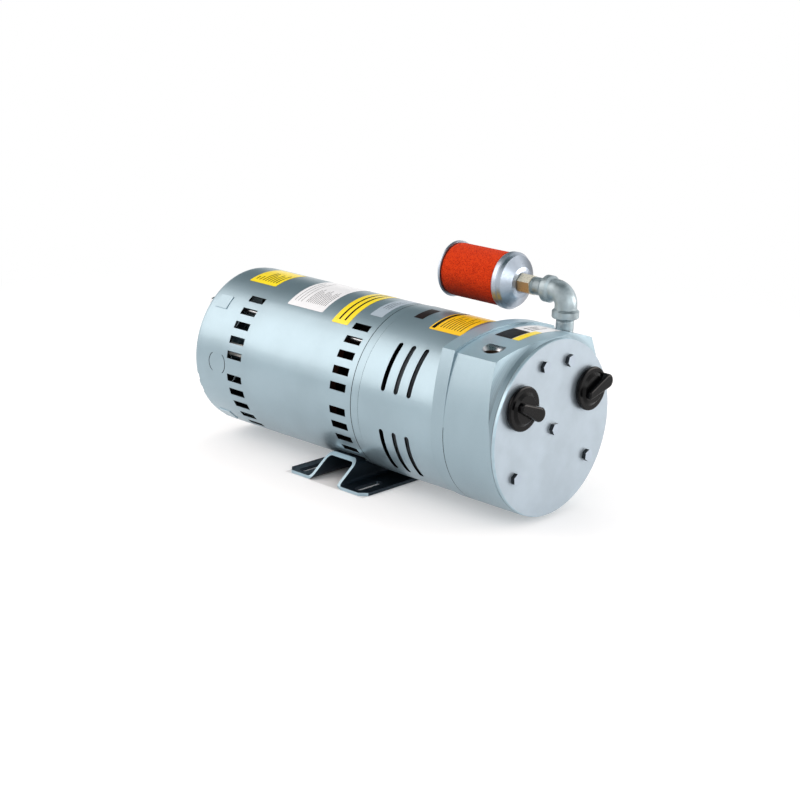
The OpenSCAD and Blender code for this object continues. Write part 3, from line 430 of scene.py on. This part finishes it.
def sheet_mesh(patches, at, per_unit):
    """Curved patches (u0, u1, y0, y1, corner, lift) as one mesh. per_unit turns u into metres."""
    corner_steps = 5
    step_length = 2.0 * MM
    mesh = bmesh.new()
    for u0, u1, y0, y1, corner, lift in patches:
        length = (u1 - u0) * per_unit
        corner = min(corner, length / 2.1, (y1 - y0) / 2.1)
        ends = [corner * (1 - math.cos(math.pi / 2 * k / corner_steps)) for k in range(corner_steps + 1)]
        steps = max(2, int((length - 2 * corner) / step_length))
        middle = [corner + (length - 2 * corner) * k / steps for k in range(1, steps)]
        rows = []
        for s in ends + middle + [length - e for e in reversed(ends)]:
            reach = max(0.0, corner - min(s, length - s))
            inset = corner - math.sqrt(max(0.0, corner ** 2 - reach ** 2))
            low, high = y0 + inset, y1 - inset
            rows.append([mesh.verts.new(at(u0 + s / per_unit, low + (high - low) * k / 3, lift))
                         for k in range(4)])
        for a, b in zip(rows, rows[1:]):
            for k in range(3):
                mesh.faces.new((a[k], b[k], b[k + 1], a[k + 1]))
    bmesh.ops.recalc_face_normals(mesh, faces=mesh.faces)
    return mesh


# Labels: thin sheets that follow the surface under them, with generic printing

label_film = dict(Coat_Weight=0.3, Coat_Roughness=0.12)
yellow_film = plain("yellow_film", srgb(255, 224, 8), 0.35, 500, 0.00001, spread=0.04, **label_film)
amber_film = plain("amber_film", srgb(255, 200, 6), 0.35, 500, 0.00001, spread=0.04, **label_film)
white_film = plain("white_film", srgb(238, 238, 240), 0.35, 500, 0.00001, spread=0.03, **label_film)
black_film = plain("black_film", srgb(8, 7, 8), 0.4, 500, 0.00001, Specular_IOR_Level=0.15)
brown_film = plain("brown_film", srgb(30, 12, 10), 0.4, 500, 0.00001, Specular_IOR_Level=0.2)
silver_plate = metal("silver_plate", srgb(184, 198, 210), 0.36, 700, 0.00001, spread=0.05, metallic=0.3)

LABEL_LIFT = 0.12 * MM
PRINT_LIFT = 0.17 * MM
PRINT_CORNER = 0.15 * MM


def label(name, material, at, per_unit, u, y, corner=1.5, prints=()):
    """A label from u[0] to u[1] and from y[0] to y[1] in mm, with its printing.

    u is in the units of its surface. Each print is (material, [(u0, u1, y0, y1), ...]) in shares of the
    label's length along u and Y.
    """
    y_low, y_high = (v * MM for v in y)
    sheet = sheet_mesh([(u[0], u[1], y_low, y_high, corner * MM, LABEL_LIFT)], at, per_unit)
    add_piece(name, sheet, material)
    for number, (ink, shares) in enumerate(prints):
        patches = [(u[0] + (u[1] - u[0]) * u0, u[0] + (u[1] - u[0]) * u1,
                    y_low + (y_high - y_low) * y0, y_low + (y_high - y_low) * y1, PRINT_CORNER, PRINT_LIFT)
                   for u0, u1, y0, y1 in shares]
        add_piece(f"{name}_print_{number}", sheet_mesh(patches, at, per_unit), ink)


def ruled(first, last, count, start, ends, weight=0.022):
    """Thin ruled lines that stand for small print: count lines between two shares of Y."""
    places = [first + (last - first) * k / (count - 1) for k in range(count)]
    return [(start, ends[k % len(ends)], place, place + weight) for k, place in enumerate(places)]


ON_SHELL = (drum_surface(SHELL_R), math.radians(SHELL_R))
ON_SHROUD = (drum_surface(SHROUD_R), math.radians(SHROUD_R))
ON_HEAD = (head_surface, 1.0)

label("label_rear", yellow_film, *ON_SHELL, (69, 101), (131, 170),
      prints=[(black_film, ruled(0.12, 0.62, 6, 0.12, (0.62, 0.5, 0.58, 0.44, 0.6), 0.032)
               + ruled(0.74, 0.86, 2, 0.12, (0.3, 0.26), 0.035))])
label("label_white", white_film, *ON_SHELL, (56, 106), (46, 96),
      prints=[(black_film, ruled(0.08, 0.6, 11, 0.12, (0.42, 0.5, 0.46, 0.38), 0.012)),
              (black_film, ruled(0.72, 0.9, 3, 0.1, (0.8, 0.66, 0.74), 0.01))])
label("label_band", yellow_film, *ON_SHELL, (51, 110), (5.6, 27.5),
      prints=[(black_film, [(0.06, 0.94, 0.28, 0.38), (0.06, 0.94, 0.62, 0.72)])])
label("plate_small", silver_plate, *ON_SHELL, (65, 106), (-24, -8), corner=1,
      prints=[(black_film, ruled(0.3, 0.7, 3, 0.25, (0.7, 0.62, 0.55), 0.03))])
label("label_dark", brown_film, *ON_SHROUD, (73, 91), (-67, -55.5), corner=0.6)
label("label_shroud", amber_film, *ON_SHROUD, (65.5, 106), (-124, -84),
      prints=[(black_film, [(0.04, 0.96, 0.86, 0.96)]
               + ruled(0.14, 0.74, 8, 0.1, (0.6, 0.52, 0.66, 0.46), 0.024))])
label("label_head", white_film, *ON_HEAD, (-27 * MM, 38 * MM), (-186.5, -158), corner=1,
      prints=[(black_film, [(0.0, 0.42, 0.3, 1.0)]),
              (yellow_film, [(0.0, 0.52, 0.0, 0.28)]),
              (black_film, ruled(0.4, 0.7, 3, 0.5, (0.86, 0.76, 0.8), 0.05))])


# Joint lines: dark gaps round the drum, where one piece ends on another

def joint_line(name, radius, y_low, y_high, first=-180, last=180):
    strip = sheet_mesh([(first, last, y_low, y_high, 0.1 * MM, 0.05 * MM)], drum_surface(radius),
                       math.radians(radius))
    add_piece(name, strip, black_film)


joint_line("joint_line_head", HEAD_R, HEAD_BACK_Y - 0.3 * MM, HEAD_BACK_Y + 0.3 * MM, -188, 6)
joint_line("joint_line_shell", RIM_R, SHELL_FRONT_Y - 0.7 * MM, SHELL_FRONT_Y)
joint_line("joint_line_shroud", RIM_R, shroud_high.y, shroud_high.y + 0.6 * MM)


# Foam sleeve of the inlet filter

def foam_material():
    made = Material("foam", Roughness=0.95, Sheen_Weight=0.03, Specular_IOR_Level=0.1)
    pores = made.cells(900)
    open_pores = made.remap(pores, 0.35, 1.0, 0.1, 0.5)
    blotches = made.remap(made.noise(220, 5, 0.7), 0.75, 1.05, 0.3, 0.7)
    red = made.ramp(made.combined("MULTIPLY", [open_pores, blotches]),
                    [(0.34, srgb(78, 6, 2)), (0.58, srgb(186, 40, 8)), (0.95, srgb(214, 62, 18))])
    # Darker on its downward faces, as painted shade.
    made.colour(made.light_toned(red, DOWN, -0.1, 0.8, 0.4))
    made.bump(pores, 0.0005, 0.7)
    return made.material


def foam_sleeve():
    """An open-celled tube with pitted skin, slightly sagging, tucked in under the metal at its ends."""
    around, along = 300, 200
    wall = 7 * MM
    skin_gap = 0.15 * MM
    tuck_depth, tuck_length = 0.9 * MM, 1.2 * MM
    pit_depth, sag_depth = 0.56 * MM, 0.25 * MM
    centre = (foam_low + foam_high) / 2
    outer = (foam_high.x - foam_low.x) / 2
    inner = outer - wall
    length = foam_high.y - foam_low.y
    ways = [Vector((math.cos(2 * math.pi * i / around), 0, math.sin(2 * math.pi * i / around)))
            for i in range(around)]
    mesh = bmesh.new()

    def skin(y, edge, way):
        middle = Vector((centre.x, y, centre.z))
        spot = middle + way * outer
        cell = noise.noise(spot * 900) * 0.5 + noise.noise(spot * 2100) * 0.5
        tuck = tuck_depth * math.exp(-edge / tuck_length)
        sag = min(0.0, sag_depth * noise.noise(spot * 60))
        return middle + way * (outer - skin_gap - tuck - pit_depth * max(0.0, cell) + sag)

    rings = []
    for j in range(along + 1):
        y = foam_low.y + length * j / along
        edge = min(j, along - j) / along * length
        rings.append([mesh.verts.new(skin(y, edge, way)) for way in ways])
    holes = [[mesh.verts.new(Vector((centre.x, y, centre.z)) + way * inner) for way in ways]
             for y in (foam_low.y, foam_high.y)]
    ring_strip(mesh, [holes[0]] + rings + [holes[1]])
    bmesh.ops.recalc_face_normals(mesh, faces=mesh.faces)
    piece = add_piece("foam_sleeve", mesh, foam_material())
    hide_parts("filter_foam")


foam_sleeve()


# Threaded pipes

def threaded_pipe(name, node, axis, zones, hidden):
    """A pipe in place of its node. zones are the threaded stretches along the axis, in metres.

    hidden gives the lengths at its low and high end that lie in a socket and are thinner.
    """
    outer, in_socket, bore = 8.55 * MM, 7.25 * MM, 6.2 * MM
    depth, clearance = 0.75 * MM, 0.02 * MM
    around, steps_per_turn = 96, 8
    low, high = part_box(node)
    centre = (low + high) / 2
    start, end = low[axis], high[axis]
    steps = int((end - start) / (THREAD_PITCH / steps_per_turn))
    side, up = (0, 2) if axis == 1 else (0, 1)
    mesh = bmesh.new()

    def ring(place, radius):
        verts = []
        for i in range(around):
            a = 2 * math.pi * i / around
            r = radius(place, i / around)
            spot = Vector((0, 0, 0))
            spot[axis] = place
            spot[side] = centre[side] + r * math.cos(a)
            spot[up] = centre[up] + r * math.sin(a)
            verts.append(mesh.verts.new(spot))
        return verts

    def outside(place, turn):
        if place < start + hidden[0] or place > end - hidden[1]:
            return in_socket
        for zone_low, zone_high in zones:
            if zone_low <= place <= zone_high:
                phase = (place / THREAD_PITCH - turn) % 1.0
                fade = min(1.0, (place - zone_low) / THREAD_PITCH, (zone_high - place) / THREAD_PITCH)
                return outer - depth * abs(2 * phase - 1) * max(0.0, fade) - clearance
        return outer

    def inside(place, turn):
        return bore

    rings = [ring(start + (end - start) * k / steps, outside) for k in range(steps + 1)]
    ring_strip(mesh, [ring(start, inside)] + rings + [ring(end, inside)], closed=True)
    bmesh.ops.recalc_face_normals(mesh, faces=mesh.faces)
    piece = add_piece(name, mesh, galvanised)
    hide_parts(node)


threaded_pipe("threaded_close_nipple", "close_nipple", axis=1,
              zones=[(elbow_high.y, elbow_high.y + 4 * MM), (NECK_FRONT_Y - 4.5 * MM, NECK_FRONT_Y)],
              hidden=(9.1 * MM, 7.6 * MM))
threaded_pipe("threaded_port_nipple", "pipe_nipple", axis=2,
              zones=[(elbow_low.z - 3.6 * MM, elbow_low.z),
                     (PORT_NIPPLE_Z + 18 * MM, PORT_NIPPLE_Z + 20 * MM)],
              hidden=(18.0 * MM, 9.1 * MM))


# Dark panels in the rear shield's slots, as painted shade, so that no daylight shows through the vents

def rear_slot_shade_panels():
    slots = 12
    middle_r, half_length, half_width = 47 * MM, 11.9 * MM, 2.9 * MM
    mesh = bmesh.new()
    for k in range(slots):
        a = math.radians(360 * (k + 0.5) / slots)
        out = Vector((math.cos(a), 0, math.sin(a)))
        across = Vector((-math.sin(a), 0, math.cos(a)))
        centre = Vector((0, SHIELD_BACK_Y - 2 * MM, SHAFT_Z)) + out * middle_r
        mesh.faces.new([mesh.verts.new(centre + out * half_length * u + across * half_width * v)
                        for u, v in ((-1, -1), (1, -1), (1, 1), (-1, 1))])
    add_piece("rear_slot_shade_panels", mesh, black_film)


rear_slot_shade_panels()


# Thread and machined chamfer of the exhaust port

PORT_X, PORT_Y = -52.5 * MM, -177 * MM
PORT_R = 7.3 * MM
PORT_DEPTH = 16 * MM
PORT_AROUND = 96
PORT_WAYS = [Vector((math.cos(2 * math.pi * i / PORT_AROUND), math.sin(2 * math.pi * i / PORT_AROUND), 0))
             for i in range(PORT_AROUND)]
PORT_MOUTH_Z = head_surface(PORT_X, PORT_Y, 0).z - 3 * MM


def port_thread():
    depth, clearance, steps_per_turn = 0.7 * MM, 0.02 * MM, 8
    steps = int(PORT_DEPTH / (THREAD_PITCH / steps_per_turn))
    mesh = bmesh.new()
    rings = []
    for j in range(steps + 1):
        z = PORT_MOUTH_Z - PORT_DEPTH * (1 - j / steps)
        fade = min(1.0, (PORT_MOUTH_Z - z) / THREAD_PITCH)
        ring = []
        for i, way in enumerate(PORT_WAYS):
            phase = (z / THREAD_PITCH - i / PORT_AROUND) % 1.0
            r = PORT_R - clearance - depth * (1 - abs(2 * phase - 1)) * fade
            ring.append(mesh.verts.new(Vector((PORT_X, PORT_Y, z)) + way * r))
        rings.append(ring)
    ring_strip(mesh, rings)
    add_piece("port_thread", mesh, port_dark)


def port_chamfer():
    """A 45 degree cone from the port's mouth to where it meets the head's arched top."""
    clearance, rounds = 0.04 * MM, 12
    edges = []
    for way in PORT_WAYS:
        edge = PORT_R
        for _ in range(rounds):
            edge = PORT_R + head_surface(PORT_X + way.x * edge, PORT_Y, 0).z - PORT_MOUTH_Z
        edges.append(edge)
    mesh = bmesh.new()
    rings = []
    for share in (0, 0.25, 0.5, 0.75, 1):
        ring = []
        for way, edge in zip(PORT_WAYS, edges):
            rise = (edge - PORT_R) * share
            spot = Vector((PORT_X, PORT_Y, PORT_MOUTH_Z + rise)) + way * (PORT_R + rise - clearance)
            ring.append(mesh.verts.new(spot))
        rings.append(ring)
    ring_strip(mesh, rings)
    add_piece("port_chamfer", mesh, zinc_steel)


port_thread()
port_chamfer()


# Camera

def place_camera(azimuth, elevation, roll, lens, place):
    """A camera seen from an azimuth round the object, an elevation and a roll, all in degrees."""
    azimuth, elevation, roll = (math.radians(angle) for angle in (azimuth, elevation, roll))
    back = Vector((math.sin(azimuth) * math.cos(elevation), -math.cos(azimuth) * math.cos(elevation),
                   math.sin(elevation)))
    right = Vector((math.cos(azimuth), math.sin(azimuth), 0))
    up = back.cross(right)
    side = right * math.cos(roll) + up * math.sin(roll)
    top = up * math.cos(roll) - right * math.sin(roll)
    data = bpy.data.cameras.new("camera")
    data.sensor_width = 36
    data.lens = lens
    camera = bpy.data.objects.new("camera", data)
    camera.matrix_world = Matrix.Translation(place) @ Matrix((side, top, back)).transposed().to_4x4()
    bpy.context.scene.collection.objects.link(camera)
    bpy.context.scene.camera = camera


# Studio: soft lamps, a white backdrop and a pale floor that keeps the shadow

CEILING_START = math.sin(math.radians(40))
CEILING_FULL = math.sin(math.radians(60))
DARK_REFLECTION = (0.02, 0.07, 0.08, 1)
FLAG_WAY = (0.487, 0.671, 0.559)
FLAG_START = math.cos(math.radians(30))
FLAG_FULL = math.cos(math.radians(10))
WHITE = (1, 1, 1, 1)
AMBIENT = 0.8
FLOOR_COLOUR = (0.82, 0.81, 0.81, 1)
FLOOR_SIZE = 6
FLOOR_LIFT = 0.26
FLOOR_FADE_START, FLOOR_FADE_FULL = 0.45, 0.95


def soft_light(name, place, target, size, watts, colour=(1, 1, 1)):
    data = bpy.data.lights.new(name, "AREA")
    data.shape = "RECTANGLE"
    data.size, data.size_y = size
    data.energy = watts
    data.color = colour
    lamp = bpy.data.objects.new(name, data)
    lamp.location = place
    lamp.rotation_euler = (Vector(target) - Vector(place)).to_track_quat("-Z", "Y").to_euler()
    bpy.context.scene.collection.objects.link(lamp)


def build_world():
    """Plain white light. Reflections show a white backdrop, a dark ceiling and a dark flag behind."""
    world = bpy.data.worlds.new("studio")
    world.use_nodes = True
    made = Nodes(world.node_tree)
    around = made.add("ShaderNodeTexCoord").outputs["Generated"]
    ceiling = made.remap(made.axes(around)["Z"], 0, 1, CEILING_START, CEILING_FULL,
                         interpolation_type="SMOOTHSTEP")
    flag = made.remap(made.vector_math("DOT_PRODUCT", around, FLAG_WAY), 0, 1, FLAG_START, FLAG_FULL,
                      interpolation_type="SMOOTHSTEP")
    reflected = made.add("ShaderNodeBackground")
    made.link(made.mixed(made.combined("MAXIMUM", [ceiling, flag]), WHITE, DARK_REFLECTION),
              reflected.inputs["Color"])
    ambient = made.tree.nodes["Background"]
    ambient.inputs["Color"].default_value = WHITE
    ambient.inputs["Strength"].default_value = AMBIENT
    backdrop = made.add("ShaderNodeBackground", {"Color": WHITE})
    path = made.add("ShaderNodeLightPath").outputs
    glossy = made.combined("MAXIMUM", [path["Is Glossy Ray"], path["Is Transmission Ray"]])
    shown = made.mixed_shader(glossy, ambient.outputs[0], reflected.outputs[0])
    shown = made.mixed_shader(path["Is Camera Ray"], shown, backdrop.outputs[0])
    made.link(shown, made.tree.nodes["World Output"].inputs["Surface"])
    bpy.context.scene.world = world


def floor_material():
    """Pale and matt. Where it is looked at it is lifted, except under the foot, and white far away."""
    material = bpy.data.materials.new("pale_floor")
    material.use_nodes = True
    made = Nodes(material.node_tree)
    surface = made.tree.nodes["Principled BSDF"]
    surface.inputs["Base Color"].default_value = FLOOR_COLOUR
    surface.inputs["Roughness"].default_value = 0.9
    surface.inputs["Specular IOR Level"].default_value = 0.1
    place = made.add("ShaderNodeTexCoord").outputs["Object"]
    path = made.add("ShaderNodeLightPath").outputs
    seen = made.combined("MAXIMUM", [path["Is Camera Ray"], path["Is Glossy Ray"],
                                     path["Is Transmission Ray"]])

    middle, half = (foot_low + foot_high) / 2, (foot_high - foot_low) / 2
    from_foot = made.add("ShaderNodeMapping", {"Scale": (1 / half.x, 1 / half.y, 0),
                                               "Location": (0, -middle.y / half.y, 0)})
    made.link(place, from_foot.inputs["Vector"])
    shares = made.axes(made.vector_math("ABSOLUTE", from_foot.outputs["Vector"]))
    beside_foot = made.remap(made.combined("MAXIMUM", [shares["X"], shares["Y"]]), 0, FLOOR_LIFT, 1.0, 1.04)
    lift = made.add("ShaderNodeEmission")
    made.link(beside_foot, lift.inputs["Strength"])
    lifted = made.add("ShaderNodeAddShader")
    made.link(surface.outputs[0], lifted.inputs[0])
    made.link(lift.outputs[0], lifted.inputs[1])
    near = made.mixed_shader(seen, surface.outputs[0], lifted.outputs[0])

    far = made.remap(made.vector_math("LENGTH", place), 0, 1, FLOOR_FADE_START, FLOOR_FADE_FULL,
                     interpolation_type="SMOOTHSTEP")
    white = made.add("ShaderNodeEmission")
    shown = made.mixed_shader(made.combined("MULTIPLY", [far, seen]), near, white.outputs[0])
    made.link(shown, made.tree.nodes["Material Output"].inputs["Surface"])
    return material


def build_floor():
    mesh = bmesh.new()
    bmesh.ops.create_grid(mesh, x_segments=1, y_segments=1, size=FLOOR_SIZE)
    data = bpy.data.meshes.new("floor")
    mesh.to_mesh(data)
    mesh.free()
    data.materials.append(floor_material())
    floor = bpy.data.objects.new("floor", data)
    bpy.context.scene.collection.objects.link(floor)


place_camera(azimuth=-47.52, elevation=16.48, roll=1.8, lens=77.94, place=(-1.2138, -1.1303, 0.5601))
build_world()
build_floor()
soft_light("key", (-1.1, 1.4, 1.15), (0, 0, 0.1), (1.9, 1.8), 20, (1.0, 0.88, 0.82))
soft_light("front", (-0.6, -2.4, 0.9), (0, -0.2, 0.1), (1.4, 1.2), 12)
soft_light("side", (1.7, -1.7, 0.5), (0, -0.2, 0.1), (1.2, 1.0), 22, (1.0, 0.92, 0.87))
soft_light("over", (0.9, 0.5, 2.0), (0, 0, 0.1), (1.0, 0.8), 4)
bpy.context.scene.view_settings.view_transform = "Standard"
